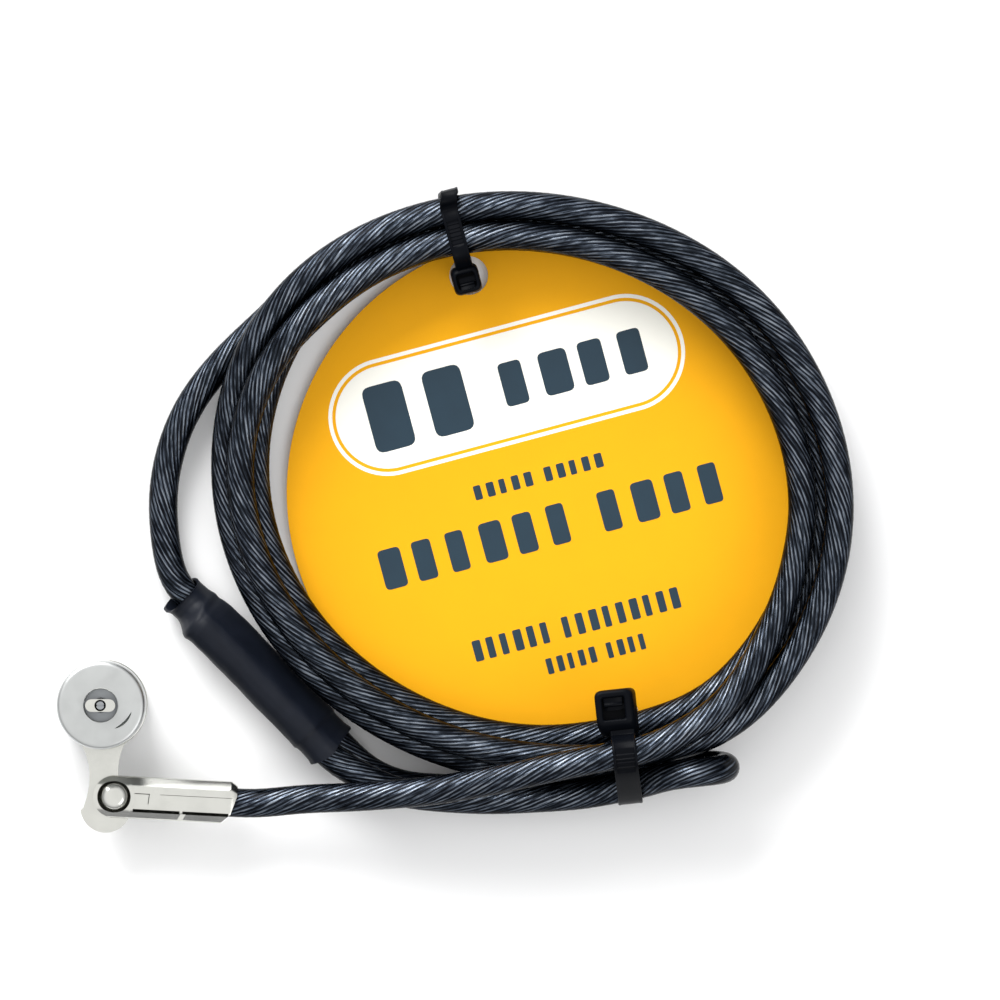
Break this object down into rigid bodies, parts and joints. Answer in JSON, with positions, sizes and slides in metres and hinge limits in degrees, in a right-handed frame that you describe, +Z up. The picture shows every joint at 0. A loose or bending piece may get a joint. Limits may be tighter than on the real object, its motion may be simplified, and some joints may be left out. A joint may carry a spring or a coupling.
{
  "type": "laptop cable lock",
  "caption": "Keyed laptop cable lock: round lock head with T-bar tip on a swivel collar, coated steel cable wound in a tied coil on a card, sleeved anchor loop.",
  "frame": {"origin": "on the floor, below the middle of the lock head with its swivel collar; the barrel axis is 8.65 mm towards +Y from it", "axes": "+Z up along the barrel axis towards the T-bar; +X along the floor from the head towards the cable coil; +Y from the pivot lug towards the barrel"},
  "size_m": [0.1622, 0.1332, 0.0306],
  "materials": {
    "satin_metal": "satin nickel-plated zinc, fine brushed face",
    "polished_metal": "polished nickel plate",
    "steel": "machined hardened steel",
    "brass": "machined brass",
    "spring_steel": "bright spring wire",
    "cable_coat": "glossy smoke-tinted vinyl over stranded steel wire",
    "shrink_tube": "matte heat-shrink tube",
    "nylon": "black moulded nylon with a low sheen",
    "rubber": "matte black rubber",
    "yellow_card": "printed yellow card with a low sheen"
  },
  "bodies": {
    "cable": {"cable_lead": "cable_coat", "cable_coil": "cable_coat", "cable_run_out": "cable_coat", "cable_loop": "cable_coat", "loop_ferrule": "steel", "shrink_sleeve": "shrink_tube", "tie_top": "nylon", "tie_bottom": "nylon", "label_card": "yellow_card", "cable_ferrule": "polished_metal", "pivot_pin": "polished_metal"},
    "collar": {"swivel_collar": "polished_metal"},
    "housing": {"front_housing": "satin_metal", "rear_cap": "satin_metal", "nose_insert": "steel", "nose_gasket": "rubber", "nose_plate": "satin_metal"},
    "core": {"core_plug": "brass", "core_clip": "spring_steel", "wafer_1": "brass", "wafer_2": "brass", "wafer_3": "brass", "wafer_4": "brass", "wafer_5": "brass", "wafer_spring_1": "spring_steel", "wafer_spring_2": "spring_steel", "wafer_spring_3": "spring_steel", "wafer_spring_4": "spring_steel", "wafer_spring_5": "spring_steel", "spindle": "steel", "t_bar": "steel", "tip_screw": "steel"}
  },
  "joints": [
    {"name": "ferrule_pivot", "type": "hinge", "parent": "cable", "child": "collar", "pos_m": [0.0024, -0.01045, 0.01], "axis": [0, 0, 1], "range_deg": [-45, 175]},
    {"name": "head_swivel", "type": "hinge", "parent": "collar", "child": "housing", "pos_m": [0, 0.00865, 0.01], "axis": [0, 0, 1], "continuous": true},
    {"name": "key_turn", "type": "hinge", "parent": "housing", "child": "core", "pos_m": [0, 0.00865, 0.01], "axis": [0, 0, 1], "range_deg": [0, 90]}
  ]
}
